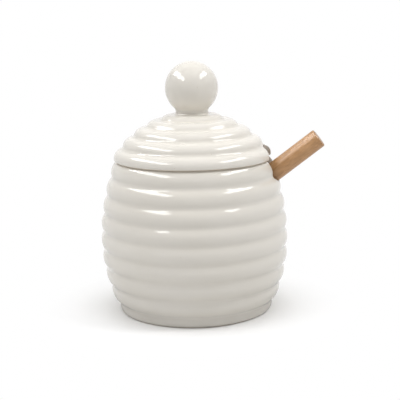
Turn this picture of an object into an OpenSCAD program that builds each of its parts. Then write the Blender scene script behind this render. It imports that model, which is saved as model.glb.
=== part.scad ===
// Ribbed stoneware honey pot with a lift-off domed lid, a ball knob and a wooden
// honey dipper. Millimetres, +Z up. The origin is the middle of the base, and the
// dipper leans out over the rim towards +X, in the plane y = 0.

/* [Pot] */
// Diameter over the widest rib
belly_d = 98; // [95:0.5:104]
// Height of the widest part of the belly above the table
belly_z = 37.2; // [35:0.2:40]
// Diameter over the lowest rib
foot_d = 80.8; // [79:0.2:83]
// Diameter over the highest rib
shoulder_d = 85.6; // [84:0.2:87]
// Height of the middle of the lowest rib above the table
first_rib_z = 3.2; // [2.8:0.1:3.8]
// Number of ribs round the pot
rib_count = 9; // [8:1:9]
// Spacing of the ribs up the pot
rib_pitch = 8.75; // [8.4:0.05:9]
// Radius of the rounded face of a rib
rib_r = 7.6; // [7.2:0.1:8.2]
// Radius of the hollow between two ribs
rib_groove_r = 0.9; // [0.8:0.1:0.9]
// Height of the rim above the middle of the highest rib
rim_rise = 6.2; // [5.6:0.1:6.4]
// Thickness of the wall, measured from the crests of the ribs
pot_wall = 5.2; // [4.6:0.1:5.8]
// Thickness of the floor
floor_t = 5; // [4:0.2:6]
// Radius between the floor and the wall, inside
floor_corner_r = 7; // [5:1:7]
// Radius of the outer edge of the base
foot_edge_r = 1.5; // [1:0.1:2]
// Radius of the outer edge of the rim
rim_edge_r = 1; // [0.6:0.1:1.2]
// Bevel of the inner edge of the rim
rim_bevel = 0.8; // [0.4:0.1:1.2]

/* [Lid] */
// Diameter over the lowest ring of the lid
lid_d = 82.4; // [81:0.2:84]
// Radius of the dome over the crests of its rings
dome_r = 49.4; // [48.4:0.2:51]
// Number of rings round the dome
ring_count = 5; // [4:1:5]
// Angle between two rings, seen from the middle of the dome
ring_step = 9.73; // [9.4:0.01:9.9]
// Radius of the rounded face of a ring
ring_r = 5; // [4.6:0.1:5.4]
// Radius of the hollow between two rings
ring_groove_r = 0.8; // [0.5:0.1:1.2]
// Height of the middle of the lowest ring above the rim of the pot
ring_rise = 1.1; // [1:0.1:1.2]
// Thickness of the dome, measured from the crests of the rings
lid_wall = 6; // [5.8:0.1:6.4]
// Radius of the outer edge under the lid
lid_edge_r = 0.8; // [0.6:0.1:0.8]
// Depth of the flange that keeps the lid in the mouth
flange_h = 4.4; // [3:0.2:6]
// Thickness of the flange
flange_t = 3.6; // [3:0.1:4.4]
// Gap between the flange and the mouth, all round
flange_gap = 0.7; // [0.4:0.1:1.2]
// Radius of the edges of the flange
flange_edge_r = 1.2; // [0.6:0.1:1.4]
// Width of the break in the flange where the dipper passes
flange_break_w = 26; // [22:1:30]

/* [Knob] */
// Diameter of the ball
knob_d = 27.4; // [26:0.2:29]
// Height of the knob from its seat to its top
knob_h = 26.2; // [25.6:0.1:27.4]
// Diameter of the neck under the ball
neck_d = 17; // [16:0.2:18]
// Radius of the hollow between the ball and the neck
neck_hollow_r = 2; // [1.4:0.1:2.2]
// Height of the collar that carries the knob, above the crown of the lid
collar_h = 1; // [1:0.1:1.6]

/* [Dipper] */
// Rise of the dipper above level
dipper_angle = 37.4; // [36.4:0.2:38.4]
// Height where the dipper crosses the middle line of the pot
dipper_z = 40; // [39.5:0.1:41]
// Length of the whole dipper
dipper_len = 127.6; // [122:0.2:150]
// Diameter of the handle, a plain dowel
handle_d = 10; // [9:0.2:10.4]
// Bevel round the sawn end of the handle
handle_bevel = 0.4; // [0.2:0.1:0.8]
// Length of the turned head
head_len = 35; // [33:0.5:38]
// Diameter over the largest disc of the head
head_d = 22; // [21:0.5:23]
// Diameter over the first disc, at the free end of the head
head_end_d = 14.6; // [14:0.2:15]
// Diameter over the last disc, next to the handle
head_top_d = 17; // [16.4:0.2:18]
// Number of discs on the head
disc_count = 6; // [5:1:6]
// Thickness of a disc
disc_t = 2.8; // [2.4:0.1:3]
// Diameter of the core between the discs
core_d = 13.6; // [13:0.2:14]
// Depth of the socket that the handle is glued into
socket_depth = 20; // [16:1:24]
// Gap for the glue round the handle
glue_gap = 0.05; // [0.03:0.01:0.1]

/* [Dipper notch] */
// Width of the round notch that the handle leaves by
notch_w = 20; // [18:0.5:22]
// How much lower the round of the lid's arch lies than the round of the pot's notch
arch_drop = 1.3; // [1.3:0.1:1.9]
// Gap between the resting dipper and the pot
rest_gap = 0.3; // [0.3:0.05:0.6]

/* [Hidden] */
$fn = 120;
// Larger than anything in the section of the pot
beyond = 200;

belly_r = belly_d / 2;
top_rib_z = first_rib_z + (rib_count - 1) * rib_pitch;
rim_z = top_rib_z + rim_rise;

// Radius of an arc that leaves the upright tangent at its middle by a drop over a rise
function arc_r(rise, drop) = (rise * rise + drop * drop) / (2 * drop);
shoulder_arc_r = arc_r(top_rib_z - belly_z, belly_r - shoulder_d / 2);
foot_arc_r = arc_r(belly_z - first_rib_z, belly_r - foot_d / 2);
shoulder_arc_c = [belly_r - shoulder_arc_r, belly_z];
foot_arc_c = [belly_r - foot_arc_r, belly_z];

// Distance from the axis of a point at height z on a circle
function on_circle(c, r, z) = c[0] + sqrt(r * r - pow(z - c[1], 2));
function crest_r(z) = z > belly_z
    ? on_circle(shoulder_arc_c, shoulder_arc_r, z)
    : on_circle(foot_arc_c, foot_arc_r, z);
rib_centres = [for (i = [0 : rib_count - 1])
    let (z = first_rib_z + i * rib_pitch) [crest_r(z) - rib_r, z]];

shoulder_inner_r = shoulder_arc_r - pot_wall;
foot_inner_r = foot_arc_r - pot_wall;
mouth_r = on_circle(shoulder_arc_c, shoulder_inner_r, rim_z);

ring_centre_r = dome_r - ring_r;
first_ring = [lid_d / 2 - ring_r, rim_z + ring_rise];
first_ring_angle = acos(first_ring[0] / ring_centre_r);
dome_c = [0, first_ring[1] - ring_centre_r * sin(first_ring_angle)];
ring_centres = [for (i = [0 : ring_count - 1])
    let (a = first_ring_angle + i * ring_step) dome_c + ring_centre_r * [cos(a), sin(a)]];
last_ring = ring_centres[ring_count - 1];
crown_z = last_ring[1] + ring_r;
seat_z = crown_z + collar_h;
neck_r = neck_d / 2;
flange_r = mouth_r - flange_gap;
flange_inner_r = flange_r - flange_t;
flange_z = rim_z - flange_h;

knob_r = knob_d / 2;
knob_c = [0, seat_z + knob_h - knob_r];
neck_hollow_c = [neck_r + neck_hollow_r,
    knob_c[1] - sqrt(pow(knob_r + neck_hollow_r, 2) - pow(neck_r + neck_hollow_r, 2))];

handle_r = handle_d / 2;
head_end_r = head_end_d / 2;
along = [cos(dipper_angle), sin(dipper_angle)];
upright = [-sin(dipper_angle), cos(dipper_angle)];
// The free end of the head rests against the wall or on the floor, whichever it meets first
wall_from = [0, dipper_z] + head_end_r * upright - [-foot_arc_c[0], belly_z];
wall_stop = -wall_from * along
    - sqrt(pow(wall_from * along, 2) - wall_from * wall_from + pow(foot_inner_r - rest_gap, 2));
floor_stop = (floor_t + rest_gap + head_end_r * cos(dipper_angle) - dipper_z) / sin(dipper_angle);
dipper_end = max(wall_stop, floor_stop);
handle_start = dipper_end + head_len - socket_depth;
handle_tip = dipper_end + dipper_len;
notch_r = notch_w / 2;
// How far the notch's middle lies above the handle's, square to the dipper
notch_lift = notch_r - handle_r - rest_gap;
// The stretch along the dipper over which the notch is cut, clear of the far wall
notch_from = 30;
notch_to = 75;

function unit(v) = v / norm(v);

// Centre of a rounding of radius e where the level z meets a circle from inside: it
// touches both, and lies below or above the level (side = -1 or 1)
function corner_c(c, r, e, z, side) = [on_circle(c, r - e, z + side * e), z + side * e];

// What is cut off a corner to round it: the wedge between directions a and b, less the rounding
module corner_cut(c, e, a, b) {
    reach = 3 * e;
    difference() {
        polygon([c, c + reach * a, c + reach * (a + b), c + reach * b]);
        translate(c) circle(e);
    }
}

// Middle of the hollow that touches two neighbouring ribs from outside
function groove_c(p, q, r) = (p + q) / 2
    + [q[1] - p[1], p[0] - q[0]] / norm(q - p) * sqrt(r * r - pow(norm(q - p) / 2, 2));

// Section of a stack of rounded ribs with a small hollow between each two of them
module rib_section(centres, r, hollow_r) {
    last = len(centres) - 1;
    for (p = centres) translate(p) circle(r);
    polygon(concat([[0, centres[0][1]]], centres, [[0, centres[last][1]]]));
    for (i = [0 : last - 1]) {
        g = groove_c(centres[i], centres[i + 1], r + hollow_r);
        difference() {
            polygon([centres[i], g, centres[i + 1]]);
            translate(g) circle(hollow_r);
        }
    }
}

// Section of the space inside the pot, open at the top
module pot_space() {
    corner = corner_c(foot_arc_c, foot_inner_r, floor_corner_r, floor_t, 1);
    intersection() {
        translate(shoulder_arc_c) circle(shoulder_inner_r);
        translate([0, belly_z]) square([beyond, beyond]);
    }
    difference() {
        intersection() {
            translate(foot_arc_c) circle(foot_inner_r);
            translate([0, floor_t]) square([beyond, belly_z - floor_t]);
        }
        corner_cut(corner, floor_corner_r, unit(corner - foot_arc_c), [0, -1]);
    }
}

module pot_section() {
    top_rib = rib_centres[rib_count - 1];
    foot = corner_c(rib_centres[0], rib_r, foot_edge_r, 0, 1);
    outer_lip = corner_c(top_rib, rib_r, rim_edge_r, rim_z, -1);
    difference() {
        intersection() {
            union() {
                rib_section(rib_centres, rib_r, rib_groove_r);
                square([foot[0], first_rib_z]);
                translate([0, top_rib[1]]) square([top_rib[0], rim_rise]);
            }
            square([beyond, rim_z]);
        }
        pot_space();
        corner_cut(foot, foot_edge_r, unit(foot - rib_centres[0]), [0, -1]);
        corner_cut(outer_lip, rim_edge_r, unit(outer_lip - top_rib), [0, 1]);
        translate([mouth_r, rim_z]) rotate(45) square(rim_bevel * sqrt(2), center = true);
    }
}

// Places something on the dipper's middle line, its z axis pointing out of the pot
module on_dipper(distance) {
    translate([0, 0, dipper_z]) rotate([0, 90 - dipper_angle, 0]) translate([0, 0, distance])
        children();
}

// A round cut through the lid or the wall, parallel to the dipper that lies in it
module notch_cut(lift) {
    on_dipper(notch_from) translate([-lift, 0, 0]) cylinder(h = notch_to - notch_from, r = notch_r);
}

module pot() {
    color("ivory") difference() {
        rotate_extrude() pot_section();
        notch_cut(notch_lift);
    }
}

module lid_section() {
    edge = corner_c(first_ring, ring_r, lid_edge_r, rim_z, 1);
    // The inside widens above the flange until it meets the dome
    widening = 2 * flange_t;
    difference() {
        union() {
            intersection() {
                union() {
                    rib_section(ring_centres, ring_r, ring_groove_r);
                    translate([0, last_ring[1]]) square([last_ring[0], ring_r]);
                    square([first_ring[0], first_ring[1]]);
                }
                translate([0, rim_z]) square([beyond, beyond]);
            }
            translate([0, crown_z]) square([neck_r, collar_h]);
            difference() {
                translate([neck_r, crown_z]) square(collar_h);
                translate([neck_r + collar_h, crown_z + collar_h]) circle(collar_h);
            }
            translate([flange_inner_r, flange_z]) square([flange_t, flange_h]);
        }
        intersection() {
            translate(dome_c) circle(dome_r - lid_wall);
            polygon([[0, 0], [flange_inner_r, 0], [flange_inner_r, rim_z],
                [flange_inner_r + widening, rim_z + widening],
                [flange_inner_r + widening, crown_z], [0, crown_z]]);
        }
        corner_cut(edge, lid_edge_r, unit(edge - first_ring), [0, -1]);
        corner_cut([flange_r - flange_edge_r, flange_z + flange_edge_r], flange_edge_r, [1, 0], [0, -1]);
        corner_cut([flange_inner_r + flange_edge_r, flange_z + flange_edge_r], flange_edge_r, [-1, 0], [0, -1]);
    }
}

module lid() {
    color("ivory") difference() {
        rotate_extrude() lid_section();
        notch_cut(notch_lift - arch_drop);
        translate([0, -flange_break_w / 2, flange_z]) cube([flange_r + flange_gap, flange_break_w, flange_h]);
    }
}

module lid_knob() {
    color("ivory") rotate_extrude() {
        intersection() {
            translate(knob_c) circle(knob_r);
            translate([0, seat_z]) square([beyond, beyond]);
        }
        difference() {
            polygon([[0, seat_z], [neck_r, seat_z], [neck_r, neck_hollow_c[1]], neck_hollow_c, knob_c]);
            translate(neck_hollow_c) circle(neck_hollow_r);
        }
    }
}

module dipper_handle() {
    length = handle_tip - handle_start;
    color("burlywood") on_dipper(handle_start) {
        cylinder(h = length - handle_bevel, r = handle_r);
        translate([0, 0, length - handle_bevel])
            cylinder(h = handle_bevel, r1 = handle_r, r2 = handle_r - handle_bevel);
    }
}

// Radius over disc i of the head: a barrel between its two ends
function disc_r(i) = let (t = i / (disc_count - 1), side = t < 0.5 ? head_end_d : head_top_d)
    (side + (head_d - side) * sqrt(1 - pow(2 * t - 1, 2))) / 2;

module dipper_head() {
    pitch = (head_len - disc_t) / (disc_count - 1);
    color("burlywood") on_dipper(dipper_end) difference() {
        rotate_extrude() {
            square([core_d / 2, head_len]);
            for (i = [0 : disc_count - 1]) translate([0, i * pitch]) {
                square([disc_r(i) - disc_t / 2, disc_t]);
                translate([disc_r(i) - disc_t / 2, disc_t / 2]) circle(disc_t / 2);
            }
        }
        translate([0, 0, head_len - socket_depth]) cylinder(h = socket_depth + 1, r = handle_r + glue_gap);
    }
}

pot();
lid();
lid_knob();
dipper_handle();
dipper_head();
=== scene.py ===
"""A glazed stoneware honey pot with a domed lid and a wooden dipper, dressed for its studio picture.

Everything is in metres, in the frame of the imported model: +Z up, and +X towards the dipper.
"""

import math

import bmesh
import bpy
from mathutils import Matrix, Vector


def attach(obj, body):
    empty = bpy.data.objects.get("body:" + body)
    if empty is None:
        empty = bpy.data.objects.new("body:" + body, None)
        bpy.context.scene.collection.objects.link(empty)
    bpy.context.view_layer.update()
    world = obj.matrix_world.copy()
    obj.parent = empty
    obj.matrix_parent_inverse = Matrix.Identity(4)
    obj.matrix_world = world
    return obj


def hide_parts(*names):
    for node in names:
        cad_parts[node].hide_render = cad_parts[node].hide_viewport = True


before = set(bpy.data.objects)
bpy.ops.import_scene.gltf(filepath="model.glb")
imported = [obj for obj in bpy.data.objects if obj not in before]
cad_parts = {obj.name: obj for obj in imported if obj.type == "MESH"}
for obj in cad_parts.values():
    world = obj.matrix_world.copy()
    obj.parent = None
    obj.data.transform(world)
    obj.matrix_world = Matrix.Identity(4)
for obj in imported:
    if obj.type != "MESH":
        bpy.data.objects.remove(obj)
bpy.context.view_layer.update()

MM = 0.001

# The pot, as in the solids, but with the softer hollows that the glaze leaves.
# A pair is a distance from the upright axis and a height.
BELLY = (49 * MM, 37.2 * MM)
FOOT_RADIUS = 40.4 * MM
SHOULDER_RADIUS = 42.8 * MM
FIRST_RIB_Z = 3.2 * MM
RIB_COUNT = 9
RIB_PITCH = 8.75 * MM
TOP_RIB_Z = FIRST_RIB_Z + (RIB_COUNT - 1) * RIB_PITCH
RIB_RADIUS = 7.6 * MM
RIB_HOLLOW = 3 * MM
RIM_Z = 79.4 * MM
RIM_EDGE = 1 * MM
RIM_INNER_EDGE = 1.2 * MM
FOOT_EDGE = 1.5 * MM
POT_WALL = 5.2 * MM
FLOOR_Z = 5 * MM
FLOOR_CORNER = 7 * MM
POT_WAVE = 0.0012  # share of the radius

# The lid
LID_RADIUS = 41.2 * MM
LID_EDGE = 0.8 * MM
LID_WALL = 6 * MM
DOME_RADIUS = 49.4 * MM
RING_COUNT = 5
RING_STEP = math.radians(9.73)
RING_RADIUS = 5 * MM
RING_HOLLOW = 2.6 * MM
RING_RISE = 1.1 * MM
FLANGE_DEPTH = 4.4 * MM
FLANGE_THICKNESS = 3.6 * MM
FLANGE_GAP = 0.7 * MM
FLANGE_EDGE = 1.2 * MM
FLANGE_BREAK = 26 * MM
NECK_RADIUS = 8.5 * MM
COLLAR = 1 * MM
LID_WAVE = 0.001  # share of the radius

# The dipper and the notch that it leaves by
DIPPER_ANGLE = math.radians(37.4)
DIPPER_Z = 40 * MM
HANDLE_END = 82 * MM
NOTCH_RADIUS = 10 * MM
NOTCH_LIFT = 4.7 * MM
NOTCH_REACH = (30 * MM, 75 * MM)

# How finely the round shapes are made
ROUND_STEPS = 240
NOTCH_STEPS = 144
WALL_STEPS = 12
ARC_STEP = math.radians(5)
LONGEST_STRETCH = 2.5 * MM
SHARP_ANGLE = math.radians(35)
ON_AXIS = 1e-6

# Unevenness of a cast wall: share, lobes round the axis, turn per metre of height, start
CAST_WAVES = ((1, 3, 60, 0.7), (0.6, 5, -110, 2.1), (0.45, 8, 170, 4.0), (0.3, 13, -240, 1.3))

# Glaze
GLAZE = (0.825, 0.788, 0.725, 1)
# Darker glaze colour: thinner glaze in the clouds of tone, and painted shade in the hollows
GLAZE_THIN_AND_SHADE = (0.78, 0.74, 0.66, 1)
BARE_CLAY = (0.62, 0.54, 0.44, 1)
CLOUD_SHARE = 0.35
CLOUD_RANGE = (0.3, 0.7)
# Painted shade in the hollows between ribs: how much it darkens the glaze, and how far it reaches
HOLLOW_SHADE_SHARE = 0.25
HOLLOW_SHADE_REACH = 0.3  # share of the spacing, to either side
PIN_HOLE_EDGE = (0.06, 0.16)
PIN_HOLE_CHANCE = (0.992, 0.996)
GLAZE_ROUGHNESS = (0.03, 0.06)
BARE_ROUGHNESS = 0.6
GLAZE_RELIEF = 0.08 * MM
GLAZE_BUMP = 0.6
SOFT_EDGE = 0.7 * MM
SOFT_EDGE_SAMPLES = 6
GLAZE_IOR = 1.5
BARE_FOOT_Z = 0.3 * MM
BARE_SEAT_Z = RIM_Z + 0.25 * MM
GLAZE_FADE = 0.3 * MM
# Middle of the lid's dome and the angle of its lowest ring, for the painted shade in the hollows
DOME_Z = 54.8 * MM
FIRST_RING_ANGLE = math.radians(35.4)

# Wood
WOOD_PALE = (0.62, 0.35, 0.165, 1)
WOOD_TAN = (0.43, 0.225, 0.088, 1)
WOOD_FLECK = (0.28, 0.145, 0.065, 1)
GRAIN_STRETCH = 0.05
SWAY_SCALE = 160.0
SWAY = 3 * MM
RING_DARKENS = (0.1, 0.85)
RING_ENDS = (0.9, 1.0)
RING_SHARE = 0.3
FIBRE_RANGE = (0.3, 0.7)
FIBRE_SHARE = 0.25
FIGURE_STRETCH = 0.45
FIGURE_RANGE = (0.35, 0.65)
FIGURE_SHARE = 0.5
RAY_STRETCH = 0.16
RAY_CELL_SHARE = 0.35
RAY_EDGE = (0.08, 0.2)
RAY_SHARE = 0.35
RAY_DEPTH = 0.6
ROUGHNESS_SPREAD = 0.06
WOOD_RELIEF = 0.05 * MM
WOOD_BUMP = 0.5
WOOD_IOR = 1.5
SAWN_ALONG = (HANDLE_END - 0.3 * MM, HANDLE_END - 0.1 * MM)
# Painted shade on the handle where it goes into the notch: the stretch along the dipper where it fades, and how
# dark it gets
NOTCH_SHADE_ALONG = (52 * MM, 58 * MM)
NOTCH_SHADE_SHARE = 0.7

# Camera of the photograph
CAMERA_AT = (0.0580, -0.5089, 0.1600)
CAMERA_TURN = math.radians(6.144)
CAMERA_PITCH = math.radians(11.36)
CAMERA_ROLL = math.radians(-1.168)
CAMERA_LENS = 89.5
CAMERA_CLIP = (0.02, 20)
SENSOR = 36.0

# Studio
WHITE = (1, 1, 1, 1)
POT_MIDDLE = (0, 0, 60 * MM)
WORLD_LOW = (-0.1, 0.3)
WORLD_HIGH = (1.0, 0.7)
FLOOR_REACH = 6.0
FLOOR_SEEN = (0.97, 0.97, 0.97, 1)
FLOOR_BOUNCE = (0.7, 0.7, 0.7, 1)
FLOOR_FADE = (42 * MM, 85 * MM)


# Node trees

def feed(tree, socket, value):
    """Links another node's output to a socket, or sets a plain value on it."""
    if isinstance(value, bpy.types.NodeSocket):
        tree.links.new(value, socket)
    else:
        socket.default_value = value


def add(tree, kind, inputs=None, **settings):
    """A new node with its settings, and its sockets fed by values or by other nodes' outputs."""
    node = tree.nodes.new(kind)
    for name, value in settings.items():
        setattr(node, name, value)
    for name, value in (inputs or {}).items():
        feed(tree, node.inputs[name], value)
    return node


def maths(tree, operation, *values):
    """The result of one Math node."""
    return add(tree, "ShaderNodeMath", dict(enumerate(values)), operation=operation).outputs[0]


def weighted(tree, *parts):
    """The sum of values, each times its share."""
    scaled = [maths(tree, "MULTIPLY", value, share) for value, share in parts]
    total = scaled[0]
    for part in scaled[1:]:
        total = maths(tree, "ADD", total, part)
    return total


def distance_of(tree, across, up):
    """Length of the slope of a right-angled triangle."""
    squares = [maths(tree, "POWER", side, 2.0) for side in (across, up)]
    return maths(tree, "SQRT", maths(tree, "ADD", *squares))


def blend_colours(tree, factor, first, second):
    """Colour between first and second."""
    node = add(tree, "ShaderNodeMix", data_type="RGBA")
    ends = [s for s in node.inputs if s.type == "RGBA"]
    for socket, value in ((node.inputs[0], factor), (ends[0], first), (ends[1], second)):
        feed(tree, socket, value)
    return [s for s in node.outputs if s.type == "RGBA"][0]


def remap(tree, value, low, high, to_low=0.0, to_high=1.0):
    """A value moved smoothly from one range to another, and kept in it."""
    inputs = {"Value": value, "From Min": low, "From Max": high, "To Min": to_low, "To Max": to_high}
    return add(tree, "ShaderNodeMapRange", inputs, interpolation_type="SMOOTHSTEP").outputs["Result"]


def xyz_of(tree, vector):
    """The three parts of a vector, by name."""
    return add(tree, "ShaderNodeSeparateXYZ", {"Vector": vector}).outputs


def stretched(tree, vector, share):
    """A vector whose x part is cut to a share, so that a pattern made from it is drawn out along x."""
    inputs = {0: vector, 1: (share, 1, 1)}
    return add(tree, "ShaderNodeVectorMath", inputs, operation="MULTIPLY").outputs[0]


def noise(tree, vector, scale, detail):
    """A cloudy value round one half."""
    inputs = {"Vector": vector, "Scale": scale, "Detail": detail}
    return add(tree, "ShaderNodeTexNoise", inputs).outputs[0]


def cells(tree, vector, scale):
    """A pattern of cells, with the distance from each cell's point and a colour for each cell."""
    return add(tree, "ShaderNodeTexVoronoi", {"Vector": vector, "Scale": scale}).outputs


def object_coordinates(tree):
    """Points in the frame of the model at rest."""
    return add(tree, "ShaderNodeTexCoord").outputs["Object"]


def seen_directly(tree):
    """1 for what the camera, a mirror or glass shows, and 0 for light that falls on things."""
    path = add(tree, "ShaderNodeLightPath").outputs
    mirrored = maths(tree, "MAXIMUM", path["Is Camera Ray"], path["Is Glossy Ray"])
    return maths(tree, "MAXIMUM", mirrored, path["Is Transmission Ray"])


# Shader groups

def new_group(name, inputs, outputs):
    """An empty shader node group. Its inputs are numbers with these values, or a vector where there is none."""
    tree = bpy.data.node_groups.new(name, "ShaderNodeTree")
    for label, value in inputs.items():
        kind = "NodeSocketVector" if value is None else "NodeSocketFloat"
        socket = tree.interface.new_socket(label, in_out="INPUT", socket_type=kind)
        if value is not None:
            socket.default_value = value
    for label in outputs:
        tree.interface.new_socket(label, in_out="OUTPUT", socket_type="NodeSocketFloat")
    given = tree.nodes.new("NodeGroupInput").outputs
    return tree, given, tree.nodes.new("NodeGroupOutput").inputs


def glaze_group():
    """The uneven depth of a poured glaze: slow clouds of tone, slight waves, and a few pin holes."""
    tree, given, result = new_group(
        "poured_glaze",
        {"Vector": None, "Cloud Scale": 30.0, "Wave Scale": 120.0, "Pin Hole Scale": 700.0},
        ["Clouds", "Waves", "Pin Holes"])
    clouds = noise(tree, given["Vector"], given["Cloud Scale"], 2.0)
    waves = noise(tree, given["Vector"], given["Wave Scale"], 1.0)
    spots = cells(tree, given["Vector"], given["Pin Hole Scale"])
    chosen = add(tree, "ShaderNodeSeparateColor", {"Color": spots["Color"]}).outputs[0]
    holes = maths(tree, "MULTIPLY", remap(tree, spots["Distance"], *PIN_HOLE_EDGE, 1, 0),
                  remap(tree, chosen, *PIN_HOLE_CHANCE))
    feed(tree, result["Clouds"], remap(tree, clouds, *CLOUD_RANGE))
    feed(tree, result["Waves"], waves)
    feed(tree, result["Pin Holes"], holes)
    return tree


def hollow_group():
    """How deep a point lies in the hollow between two ribs, 0 on a crest and 1 in the hollow: the mask of the
    painted shade there.
    """
    tree, given, result = new_group(
        "hollow_between_ribs", {"Distance": 0.0, "First Crest": 0.0, "Spacing": 1.0}, ["Hollow"])
    past_first = maths(tree, "SUBTRACT", given["Distance"], given["First Crest"])
    share = maths(tree, "FRACT", maths(tree, "DIVIDE", past_first, given["Spacing"]))
    off_middle = maths(tree, "ABSOLUTE", maths(tree, "SUBTRACT", share, 0.5))
    feed(tree, result["Hollow"], remap(tree, off_middle, 0.0, HOLLOW_SHADE_REACH, 1, 0))
    return tree


def wood_group():
    """Straight-grained beech along x: growth rings, fibres, short dark rays and a cloudy figure."""
    tree, given, result = new_group(
        "beech_grain",
        {"Vector": None, "Ring Spacing": 1.5 * MM, "Pith Offset": 14 * MM, "Fibre Width": 0.35 * MM,
         "Ray Width": 0.25 * MM, "Figure Size": 3 * MM},
        ["Rings", "Fibres", "Rays", "Figure"])
    along_grain = stretched(tree, given["Vector"], GRAIN_STRETCH)
    sway = noise(tree, along_grain, SWAY_SCALE, 1.0)
    xyz = xyz_of(tree, along_grain)
    radius = distance_of(tree, maths(tree, "ADD", xyz["Y"], given["Pith Offset"]), xyz["Z"])
    swayed = maths(tree, "ADD", radius, maths(tree, "MULTIPLY", sway, SWAY))
    share = maths(tree, "FRACT", maths(tree, "DIVIDE", swayed, given["Ring Spacing"]))
    rings = maths(tree, "MULTIPLY", remap(tree, share, *RING_DARKENS), remap(tree, share, *RING_ENDS, 1, 0))
    fibres = noise(tree, along_grain, maths(tree, "DIVIDE", 1.0, given["Fibre Width"]), 2.0)
    rays = cells(tree, stretched(tree, given["Vector"], RAY_STRETCH),
                 maths(tree, "DIVIDE", RAY_CELL_SHARE, given["Ray Width"]))["Distance"]
    figure = noise(tree, stretched(tree, given["Vector"], FIGURE_STRETCH),
                   maths(tree, "DIVIDE", 1.0, given["Figure Size"]), 2.0)
    feed(tree, result["Rings"], rings)
    feed(tree, result["Fibres"], remap(tree, fibres, *FIBRE_RANGE))
    feed(tree, result["Rays"], remap(tree, rays, *RAY_EDGE, 1, 0))
    feed(tree, result["Figure"], remap(tree, figure, *FIGURE_RANGE))
    return tree


# Materials

def place_group(tree, group, inputs):
    """A group in a material, with its own values."""
    return add(tree, "ShaderNodeGroup", inputs, node_tree=group).outputs


def emptied(owner):
    """The node tree of a material or world, with nothing in it."""
    owner.use_nodes = True
    owner.node_tree.nodes.clear()
    return owner.node_tree


def new_material(name):
    """An empty material with its Principled shader."""
    material = bpy.data.materials.new(name)
    tree = emptied(material)
    shader = add(tree, "ShaderNodeBsdfPrincipled")
    add(tree, "ShaderNodeOutputMaterial", {"Surface": shader.outputs["BSDF"]})
    return material, tree, shader


def glaze_material(name, groups, hollow_shade_of=None, bare_below=None):
    """Glossy off-white glaze over stoneware, with cloudy tone, darkened in the hollows by painted shade, and
    wiped off below a height.
    """
    material, tree, shader = new_material(name)
    point = object_coordinates(tree)
    glaze = place_group(tree, groups["glaze"], {"Vector": point})
    tone_and_shade = [(glaze["Clouds"], CLOUD_SHARE)]
    # Painted shade: the hollows between ribs get more of the darker glaze colour
    if hollow_shade_of:
        tone_and_shade.append((hollow_shade_of(tree, point, groups), HOLLOW_SHADE_SHARE))
    colour = blend_colours(tree, weighted(tree, *tone_and_shade), GLAZE, GLAZE_THIN_AND_SHADE)
    colour = blend_colours(tree, glaze["Pin Holes"], colour, BARE_CLAY)
    rough = remap(tree, glaze["Clouds"], 0, 1, *GLAZE_ROUGHNESS)
    if bare_below:
        bare = remap(tree, xyz_of(tree, point)["Z"], bare_below, bare_below + GLAZE_FADE, 1, 0)
        colour = blend_colours(tree, bare, colour, BARE_CLAY)
        rough = maths(tree, "ADD", rough, maths(tree, "MULTIPLY", bare, BARE_ROUGHNESS))
    rounded = add(tree, "ShaderNodeBevel", {"Radius": SOFT_EDGE}, samples=SOFT_EDGE_SAMPLES).outputs["Normal"]
    relief = maths(tree, "SUBTRACT", glaze["Waves"], glaze["Pin Holes"])
    bump = add(tree, "ShaderNodeBump",
               {"Height": relief, "Distance": GLAZE_RELIEF, "Strength": GLAZE_BUMP, "Normal": rounded})
    feed(tree, shader.inputs["Base Color"], colour)
    feed(tree, shader.inputs["Roughness"], rough)
    feed(tree, shader.inputs["Normal"], bump.outputs["Normal"])
    shader.inputs["IOR"].default_value = GLAZE_IOR
    return material


def pot_hollow_shade(tree, point, groups):
    """Painted shade in the hollows between the pot's ribs, by height."""
    return place_group(tree, groups["hollow"], {
        "Distance": xyz_of(tree, point)["Z"], "First Crest": FIRST_RIB_Z, "Spacing": RIB_PITCH})["Hollow"]


def lid_hollow_shade(tree, point, groups):
    """Painted shade in the hollows between the lid's rings, by the angle seen from the middle of the dome."""
    xyz = xyz_of(tree, point)
    angle = maths(tree, "ARCTAN2", maths(tree, "SUBTRACT", xyz["Z"], DOME_Z),
                  distance_of(tree, xyz["X"], xyz["Y"]))
    return place_group(tree, groups["hollow"], {
        "Distance": angle, "First Crest": FIRST_RING_ANGLE, "Spacing": RING_STEP})["Hollow"]


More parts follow.
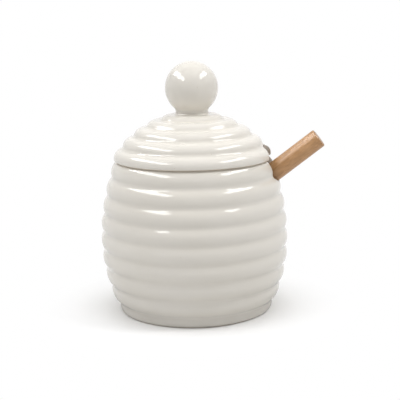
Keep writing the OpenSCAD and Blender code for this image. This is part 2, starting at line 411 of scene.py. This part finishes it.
def wood_material(name, groups, ring_spacing, roughness, darker):
    """Bare sanded beech, its grain along the dipper, darker at the sawn end grain, and with painted shade where
    it leaves the pot through the notch.
    """
    material, tree, shader = new_material(name)
    point = object_coordinates(tree)
    lowered = add(tree, "ShaderNodeMapping", {"Vector": point, "Location": (0, 0, -DIPPER_Z)}).outputs[0]
    turned = add(tree, "ShaderNodeMapping", {"Vector": lowered, "Rotation": (0, DIPPER_ANGLE, 0)}).outputs[0]
    grain = place_group(tree, groups["wood"], {"Vector": turned, "Ring Spacing": ring_spacing})
    streaks = weighted(tree, (grain["Rings"], RING_SHARE), (grain["Fibres"], FIBRE_SHARE),
                       (grain["Figure"], FIGURE_SHARE))
    colour = blend_colours(tree, streaks, WOOD_PALE, WOOD_TAN)
    colour = blend_colours(tree, maths(tree, "MULTIPLY", grain["Rays"], RAY_SHARE), colour, WOOD_FLECK)
    along = xyz_of(tree, turned)["X"]
    # Painted shade: the handle is darkened towards the pot, where it lies in the notch
    notch_shade = maths(tree, "MULTIPLY", remap(tree, along, *NOTCH_SHADE_ALONG, 1, 0), NOTCH_SHADE_SHARE)
    dark = maths(tree, "MAXIMUM", remap(tree, along, *SAWN_ALONG), notch_shade)
    colour = blend_colours(tree, maths(tree, "MULTIPLY", dark, darker), colour, WOOD_FLECK)
    relief = maths(tree, "SUBTRACT", grain["Fibres"], maths(tree, "MULTIPLY", grain["Rays"], RAY_DEPTH))
    bump = add(tree, "ShaderNodeBump", {"Height": relief, "Distance": WOOD_RELIEF, "Strength": WOOD_BUMP})
    rough = remap(tree, grain["Fibres"], 0, 1, roughness - ROUGHNESS_SPREAD, roughness + ROUGHNESS_SPREAD)
    feed(tree, shader.inputs["Base Color"], colour)
    feed(tree, shader.inputs["Roughness"], rough)
    feed(tree, shader.inputs["Normal"], bump.outputs["Normal"])
    shader.inputs["IOR"].default_value = WOOD_IOR
    return material


def dress(piece, material):
    """Gives a piece its material."""
    piece.data.materials.clear()
    piece.data.materials.append(material)


# Lines of the turned shapes, as pairs of a distance from the axis and a height

def arc_radius(rise, drop):
    """Radius of an arc that leaves the upright tangent by a drop over a rise."""
    return (rise * rise + drop * drop) / (2 * drop)


def on_circle(centre, radius, z):
    """Distance from the axis of a circle's outer point at height z."""
    return centre[0] + math.sqrt(radius * radius - (z - centre[1]) ** 2)


def angle_to(start, end):
    """Direction from one point to another."""
    return math.atan2(end[1] - start[1], end[0] - start[0])


def arc(centre, radius, start, end, steps=None):
    """Points on a circle from one angle to another."""
    steps = steps or max(2, math.ceil(abs(end - start) / ARC_STEP))
    angles = [start + (end - start) * i / steps for i in range(steps + 1)]
    return [(centre[0] + radius * math.cos(a), centre[1] + radius * math.sin(a)) for a in angles]


def ribbed_line(centres, radius, hollow, start, end):
    """Outer line over rounded ribs and the soft hollows between them.

    It goes from one angle on the first rib to one on the last.
    """
    line = []
    for p, q in zip(centres, centres[1:]):
        apart = math.dist(p, q)
        out = math.sqrt((radius + hollow) ** 2 - (apart / 2) ** 2)
        dip = ((p[0] + q[0]) / 2 + (q[1] - p[1]) / apart * out,
               (p[1] + q[1]) / 2 + (p[0] - q[0]) / apart * out)
        line += arc(p, radius, start, angle_to(p, dip))
        line += arc(dip, hollow, angle_to(dip, p) % math.tau, angle_to(dip, q) % math.tau)[1:-1]
        start = angle_to(q, dip)
    return line + arc(centres[-1], radius, start, end)


def shoulder_circle():
    """Centre and radius of the arc that the pot's crests follow above the belly."""
    radius = arc_radius(TOP_RIB_Z - BELLY[1], BELLY[0] - SHOULDER_RADIUS)
    return (BELLY[0] - radius, BELLY[1]), radius


def foot_circle():
    """Centre and radius of the arc that the pot's crests follow below the belly."""
    radius = arc_radius(BELLY[1] - FIRST_RIB_Z, BELLY[0] - FOOT_RADIUS)
    return (BELLY[0] - radius, BELLY[1]), radius


def crest_at(z):
    """How far out the pot's crests reach at height z."""
    return on_circle(*(shoulder_circle() if z > BELLY[1] else foot_circle()), z)


def pot_profile():
    """The pot's closed section, from the middle of the base round to the middle of the floor."""
    shoulder_c, shoulder = shoulder_circle()
    foot_c, foot = foot_circle()
    heights = [FIRST_RIB_Z + i * RIB_PITCH for i in range(RIB_COUNT)]
    ribs = [(crest_at(z) - RIB_RADIUS, z) for z in heights]
    low = (on_circle(ribs[0], RIB_RADIUS - FOOT_EDGE, FOOT_EDGE), FOOT_EDGE)
    lip_z = RIM_Z - RIM_EDGE
    lip = (on_circle(ribs[-1], RIB_RADIUS - RIM_EDGE, lip_z), lip_z)
    inner_z = RIM_Z - RIM_INNER_EDGE
    inner = (on_circle(shoulder_c, shoulder - POT_WALL + RIM_INNER_EDGE, inner_z), inner_z)
    corner_z = FLOOR_Z + FLOOR_CORNER
    corner = (on_circle(foot_c, foot - POT_WALL - FLOOR_CORNER, corner_z), corner_z)
    low_at = angle_to(ribs[0], low)
    lip_at = angle_to(ribs[-1], lip)
    inner_at = angle_to(shoulder_c, inner)
    corner_at = angle_to(foot_c, corner)
    line = [(0, 0)]
    line += arc(low, FOOT_EDGE, -math.pi / 2, low_at)
    line += ribbed_line(ribs, RIB_RADIUS, RIB_HOLLOW, low_at, lip_at)[1:-1]
    line += arc(lip, RIM_EDGE, lip_at, math.pi / 2)
    line += arc(inner, RIM_INNER_EDGE, math.pi / 2, math.pi + inner_at)
    line += arc(shoulder_c, shoulder - POT_WALL, inner_at, 0, WALL_STEPS)[1:]
    line += arc(foot_c, foot - POT_WALL, 0, corner_at, WALL_STEPS)[1:-1]
    line += arc(corner, FLOOR_CORNER, corner_at, -math.pi / 2)
    return line + [(0, FLOOR_Z)]


def lid_profile():
    """The lid's closed section, from its edge out over the rings and the crown, and down inside the dome."""
    ring_line = DOME_RADIUS - RING_RADIUS
    first = (LID_RADIUS - RING_RADIUS, RIM_Z + RING_RISE)
    first_at = math.acos(first[0] / ring_line)
    dome = (0, first[1] - ring_line * math.sin(first_at))
    angles = [first_at + i * RING_STEP for i in range(RING_COUNT)]
    rings = [(ring_line * math.cos(a), dome[1] + ring_line * math.sin(a)) for a in angles]
    crown_z = rings[-1][1] + RING_RADIUS
    shoulder_c, shoulder = shoulder_circle()
    flange = on_circle(shoulder_c, shoulder - POT_WALL, RIM_Z) - FLANGE_GAP
    flange_in = flange - FLANGE_THICKNESS
    edge = (on_circle(rings[0], RING_RADIUS - LID_EDGE, RIM_Z + LID_EDGE), RIM_Z + LID_EDGE)
    edge_at = angle_to(rings[0], edge)
    low = RIM_Z - FLANGE_DEPTH + FLANGE_EDGE
    inside = DOME_RADIUS - LID_WALL
    # Where the 45 degree widening above the flange meets the inside of the dome
    away = flange_in - (RIM_Z - dome[1])
    meet_at = math.acos((away + math.sqrt(2 * inside * inside - away * away)) / 2 / inside)
    line = arc(edge, LID_EDGE, -math.pi / 2, edge_at)
    line += ribbed_line(rings, RING_RADIUS, RING_HOLLOW, edge_at, math.pi / 2)[1:]
    line += arc((NECK_RADIUS + COLLAR, crown_z + COLLAR), COLLAR, -math.pi / 2, -math.pi)
    line += [(0, crown_z + COLLAR), (0, dome[1] + inside)]
    line += arc(dome, inside, math.pi / 2, meet_at)[1:]
    line += [(flange_in, RIM_Z)]
    line += arc((flange_in + FLANGE_EDGE, low), FLANGE_EDGE, math.pi, 1.5 * math.pi)
    line += arc((flange - FLANGE_EDGE, low), FLANGE_EDGE, -math.pi / 2, 0)
    return line + [(flange, RIM_Z)]


def split_long(line):
    """A closed line with points added, so that no stretch off the axis is longer than it may be."""
    fine = []
    for p, q in zip(line, line[1:] + line[:1]):
        off_axis = p[0] > 0 or q[0] > 0
        steps = max(1, math.ceil(math.dist(p, q) / LONGEST_STRETCH)) if off_axis else 1
        fine += [(p[0] + (q[0] - p[0]) * i / steps, p[1] + (q[1] - p[1]) * i / steps) for i in range(steps)]
    return fine


# Meshes

def cast_wave(turn, z, size):
    """Slight unevenness of a slip-cast wall, so that reflections waver."""
    return size * sum(share * math.sin(lobes * turn + climb * z + start)
                      for share, lobes, climb, start in CAST_WAVES)


def turned_mesh(name, line, wave):
    """A closed mesh turned from a section round the z axis."""
    shape = bmesh.new()
    turns = [math.tau * i / ROUND_STEPS for i in range(ROUND_STEPS)]
    rings = []
    for radius, z in line:
        if radius < ON_AXIS:
            rings.append([shape.verts.new((0, 0, z))])
            continue
        reach = [radius * (1 + cast_wave(turn, z, wave)) for turn in turns]
        rings.append([shape.verts.new((r * math.cos(turn), r * math.sin(turn), z))
                      for r, turn in zip(reach, turns)])
    for low, high in zip(rings, rings[1:] + rings[:1]):
        for i in range(ROUND_STEPS):
            j = (i + 1) % ROUND_STEPS
            corners = [low[i % len(low)], low[j % len(low)], high[j % len(high)], high[i % len(high)]]
            corners = [v for k, v in enumerate(corners) if v is not corners[k - 1]]
            if len(corners) > 2:
                shape.faces.new(corners)
    bmesh.ops.recalc_face_normals(shape, faces=shape.faces)
    return finish_mesh(name, shape)


def finish_mesh(name, shape):
    """A mesh from a shape that is done."""
    mesh = bpy.data.meshes.new(name)
    shape.to_mesh(mesh)
    shape.free()
    return mesh


def place_object(name, data):
    """A new object in the scene."""
    placed = bpy.data.objects.new(name, data)
    bpy.context.scene.collection.objects.link(placed)
    return placed


def notch_cutter():
    """A rod that lies parallel to the dipper, for cutting the notch."""
    shape = bmesh.new()
    start, end = NOTCH_REACH
    place = (Matrix.Translation((0, 0, DIPPER_Z)) @ Matrix.Rotation(math.pi / 2 - DIPPER_ANGLE, 4, "Y")
             @ Matrix.Translation((-NOTCH_LIFT, 0, (start + end) / 2)))
    bmesh.ops.create_cone(shape, cap_ends=True, segments=NOTCH_STEPS, radius1=NOTCH_RADIUS,
                          radius2=NOTCH_RADIUS, depth=end - start, matrix=place)
    return place_object("notch_cutter", finish_mesh("notch_cutter", shape))


def flange_cutter():
    """A block that breaks the flange where the dipper passes."""
    shape = bmesh.new()
    reach = 50 * MM
    depth = FLANGE_DEPTH + 2 * MM
    place = (Matrix.Translation((reach / 2, 0, RIM_Z - depth / 2))
             @ Matrix.Diagonal((reach, FLANGE_BREAK, depth, 1)))
    bmesh.ops.create_cube(shape, size=1, matrix=place)
    return place_object("flange_cutter", finish_mesh("flange_cutter", shape))


def cut_piece(name, mesh, cutters):
    """A piece of the object, made from a mesh less its cutters."""
    piece = place_object(name, mesh)
    for cutter in cutters:
        cut = piece.modifiers.new(cutter.name, "BOOLEAN")
        cut.operation = "DIFFERENCE"
        cut.solver = "EXACT"
        cut.object = cutter
    bpy.context.view_layer.update()
    final = bpy.data.meshes.new_from_object(piece.evaluated_get(bpy.context.evaluated_depsgraph_get()))
    piece.modifiers.clear()
    piece.data = final
    for cutter in cutters:
        bpy.data.objects.remove(cutter)
    final.polygons.foreach_set("use_smooth", [True] * len(final.polygons))
    final.set_sharp_from_angle(angle=SHARP_ANGLE)
    return piece


# The studio

def make_camera():
    """The camera, where the photograph was taken from."""
    data = bpy.data.cameras.new("camera")
    data.lens = CAMERA_LENS
    data.sensor_width = SENSOR
    data.clip_start, data.clip_end = CAMERA_CLIP
    camera = place_object("camera", data)
    camera.matrix_world = (Matrix.Translation(CAMERA_AT) @ Matrix.Rotation(CAMERA_TURN, 4, "Z")
                           @ Matrix.Rotation(math.pi / 2 - CAMERA_PITCH, 4, "X")
                           @ Matrix.Rotation(CAMERA_ROLL, 4, "Z"))
    bpy.context.scene.camera = camera


def make_softbox(name, azimuth, elevation, size, watts, distance=1.0, lights=True, mirrored=True):
    """A soft rectangular lamp that faces the middle of the pot, and lights it, is mirrored in it, or both.

    Azimuth 0 is in front of the pot, and 90 is on the dipper's side.
    """
    turn = math.radians(azimuth)
    rise = math.radians(elevation)
    way = Vector((math.sin(turn) * math.cos(rise), -math.cos(turn) * math.cos(rise), math.sin(rise)))
    data = bpy.data.lights.new(name, "AREA")
    data.shape = "RECTANGLE"
    data.size, data.size_y = size
    data.energy = watts
    lamp = place_object(name, data)
    lamp.location = Vector(POT_MIDDLE) + way * distance
    lamp.rotation_euler = way.to_track_quat("Z", "Y").to_euler()
    lamp.visible_camera = False
    lamp.visible_diffuse = lights
    lamp.visible_glossy = mirrored


def make_world():
    """Plain white surroundings: they light the pot more from overhead, and are seen as white."""
    world = bpy.data.worlds.new("studio")
    bpy.context.scene.world = world
    tree = emptied(world)
    up = xyz_of(tree, add(tree, "ShaderNodeTexCoord").outputs["Generated"])["Z"]
    strength = remap(tree, up, WORLD_LOW[0], WORLD_HIGH[0], WORLD_LOW[1], WORLD_HIGH[1])
    light = add(tree, "ShaderNodeBackground", {"Color": WHITE, "Strength": strength})
    seen = add(tree, "ShaderNodeBackground", {"Color": WHITE, "Strength": 1.0})
    both = add(tree, "ShaderNodeMixShader", {0: seen_directly(tree), 1: light.outputs[0], 2: seen.outputs[0]})
    add(tree, "ShaderNodeOutputWorld", {"Surface": both.outputs[0]})


def make_floor():
    """A pale floor that keeps the pot's shadow and runs out into white."""
    corners = [(x * FLOOR_REACH, y * FLOOR_REACH, 0) for x, y in ((-1, -1), (1, -1), (1, 1), (-1, 1))]
    mesh = bpy.data.meshes.new("floor")
    mesh.from_pydata(corners, [], [(0, 1, 2, 3)])
    floor = place_object("floor", mesh)
    material = bpy.data.materials.new("pale_floor")
    tree = emptied(material)
    from_camera = add(tree, "ShaderNodeLightPath").outputs["Is Camera Ray"]
    plain = add(tree, "ShaderNodeBsdfDiffuse",
                {"Color": blend_colours(tree, from_camera, FLOOR_BOUNCE, FLOOR_SEEN)})
    white = add(tree, "ShaderNodeEmission", {"Color": WHITE, "Strength": 1.0})
    away = add(tree, "ShaderNodeVectorMath", {0: object_coordinates(tree)}, operation="LENGTH").outputs["Value"]
    fade = maths(tree, "MULTIPLY", seen_directly(tree), remap(tree, away, *FLOOR_FADE))
    both = add(tree, "ShaderNodeMixShader", {0: fade, 1: plain.outputs[0], 2: white.outputs[0]})
    add(tree, "ShaderNodeOutputMaterial", {"Surface": both.outputs[0]})
    floor.data.materials.append(material)


# The object

def make_pot(groups):
    """The glazed pot, in place of its solid."""
    mesh = turned_mesh("glazed_pot", split_long(pot_profile()), POT_WAVE)
    pot = cut_piece("glazed_pot", mesh, [notch_cutter()])
    dress(pot, glaze_material("glaze_on_pot", groups, pot_hollow_shade, BARE_FOOT_Z))
    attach(pot, "pot")
    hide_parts("pot")


def make_lid(groups):
    """The glazed lid with its flange, in place of its solid."""
    mesh = turned_mesh("glazed_lid", split_long(lid_profile()), LID_WAVE)
    lid = cut_piece("glazed_lid", mesh, [notch_cutter(), flange_cutter()])
    dress(lid, glaze_material("glaze_on_lid", groups, lid_hollow_shade, BARE_SEAT_Z))
    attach(lid, "lid")
    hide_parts("lid")


def dress_solids(nodes, groups):
    """The knob and the dipper keep their solids' shapes."""
    handle = wood_material("beech_handle", groups, ring_spacing=1.3 * MM, roughness=0.33, darker=0.6)
    head = wood_material("beech_head", groups, ring_spacing=1.8 * MM, roughness=0.55, darker=0.0)
    dress(nodes["lid_knob"], glaze_material("glaze_on_knob", groups))
    dress(nodes["dipper_handle"], handle)
    dress(nodes["dipper_head"], head)


make_camera()
make_world()
make_floor()
make_softbox("window_left", azimuth=-66, elevation=52, size=(0.62, 0.2), watts=1.8, mirrored=False)
make_softbox("window_panes_left", azimuth=-74, elevation=47, size=(1.3, 0.26), watts=9.0, lights=False)
make_softbox("lamp_right", azimuth=78, elevation=54, size=(0.24, 0.22), watts=2.3, mirrored=False)
make_softbox("window_panes_right", azimuth=86, elevation=49, size=(0.75, 0.24), watts=4.8, lights=False)
make_softbox("ceiling", azimuth=0, elevation=88, size=(1.0, 1.0), watts=4.7, distance=1.2, mirrored=False)

shader_groups = {"glaze": glaze_group(), "hollow": hollow_group(), "wood": wood_group()}
make_pot(shader_groups)
make_lid(shader_groups)
dress_solids(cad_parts, shader_groups)

bpy.context.scene.view_settings.view_transform = "Standard"
